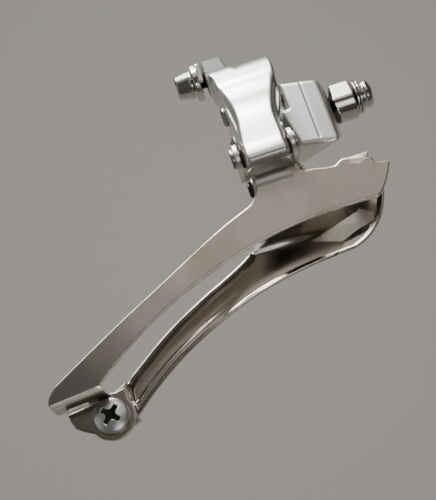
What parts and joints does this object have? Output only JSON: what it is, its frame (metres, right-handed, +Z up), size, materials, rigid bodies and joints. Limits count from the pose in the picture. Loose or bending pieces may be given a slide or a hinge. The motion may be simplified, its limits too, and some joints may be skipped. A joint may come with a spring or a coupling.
{
  "type": "bicycle front derailleur",
  "caption": "Braze-on front derailleur: two steel cage plates carried on a spring-loaded parallelogram, moved by a cable clamp arm, bolted to a frame tab.",
  "frame": {"origin": "on the mounting-bolt axis, at the crest of the body's convex mounting face", "axes": "+X forward along the mounting bolt, away from the body; +Y inboard, towards the seat tube's far side; +Z up the seat tube"},
  "size_m": [0.1072, 0.0361, 0.1037],
  "materials": {
    "cast_body": "satin, lightly polished casting",
    "polished_link": "polished and clear-anodised",
    "cage_steel": "dulled plated steel, fine scratches, bright bare edges",
    "pin_steel": "turned, plain",
    "dark_steel": "oiled spring steel",
    "bush_bronze": "sintered, oiled",
    "spring_steel": "drawn wire",
    "zinc_steel": "bright zinc",
    "nylon": "moulded natural nylon",
    "bolt_steel": "plated, turned"
  },
  "bodies": {
    "chassis": {"body": "cast_body", "upper_inner_pin": "pin_steel", "upper_inner_clip": "dark_steel", "upper_outer_bushes": "bush_bronze", "return_spring": "spring_steel", "limit_screw_sleeves": "nylon"},
    "outer_arm": {"outer_link": "polished_link", "upper_outer_pin": "pin_steel", "upper_outer_clip": "dark_steel", "lower_outer_bushes": "bush_bronze"},
    "inner_arm": {"inner_link": "cast_body", "inner_link_bushes": "bush_bronze"},
    "cage": {"outer_cage_plate": "cage_steel", "inner_cage_plate": "cage_steel", "lower_outer_pin": "pin_steel", "lower_inner_pin": "pin_steel", "lower_inner_clips": "dark_steel", "tail_screw": "zinc_steel", "tail_nut": "zinc_steel", "bridge_rivets": "pin_steel"},
    "low_screw": {"low_limit_screw": "zinc_steel"},
    "high_screw": {"high_limit_screw": "zinc_steel"},
    "clamp_bolt": {"mounting_bolt": "bolt_steel", "mounting_washer": "bolt_steel"},
    "clamp_block": {"radius_washer": "bolt_steel"},
    "wire_bolt": {"cable_bolt": "bolt_steel"},
    "wire_washer": {"cable_washer": "bolt_steel"}
  },
  "joints": [
    {"name": "link_swing", "type": "hinge", "parent": "chassis", "child": "outer_arm", "pos_m": [-0.022, -0.014, -0.0005], "axis": [-1, 0, 0], "range_deg": [0, 32], "stiffness_Nm_per_rad": 0.12, "springref_deg": -68.75},
    {"name": "inner_link_swing", "type": "hinge", "parent": "chassis", "child": "inner_arm", "pos_m": [-0.022, -0.0034, -0.0055], "axis": [-1, 0, 0], "range_deg": [0, 32]},
    {"name": "cage_swing", "type": "hinge", "parent": "outer_arm", "child": "cage", "pos_m": [-0.0235, -0.024, -0.0185], "axis": [-1, 0, 0], "range_deg": [-32, 0]},
    {"name": "low_screw_turn", "type": "hinge", "parent": "chassis", "child": "low_screw", "pos_m": [-0.02, 0.0015, 0], "axis": [0, 0, 1], "range_deg": [-360, 360]},
    {"name": "high_screw_turn", "type": "hinge", "parent": "chassis", "child": "high_screw", "pos_m": [-0.02, -0.0082, 0], "axis": [0, 0, 1], "range_deg": [-360, 360]},
    {"name": "clamp_bolt_slide", "type": "slide", "parent": "chassis", "child": "clamp_bolt", "axis": [1, 0, 0], "range_m": [-0.0008, 0.0025]},
    {"name": "clamp_block_slide", "type": "slide", "parent": "chassis", "child": "clamp_block", "axis": [1, 0, 0], "range_m": [-0.0008, 0.0025]},
    {"name": "wire_bolt_slide", "type": "slide", "parent": "outer_arm", "child": "wire_bolt", "axis": [-1, 0, 0], "range_m": [-0.0005, 0.0015]},
    {"name": "wire_washer_slide", "type": "slide", "parent": "outer_arm", "child": "wire_washer", "axis": [-1, 0, 0], "range_m": [-0.0005, 0.0015]}
  ],
  "couplings": [
    {"joint": "inner_link_swing", "follows": "link_swing", "ratio": 1},
    {"joint": "cage_swing", "follows": "link_swing", "ratio": -1},
    {"joint": "clamp_block_slide", "follows": "clamp_bolt_slide", "ratio": 1},
    {"joint": "wire_washer_slide", "follows": "wire_bolt_slide", "ratio": 1}
  ]
}
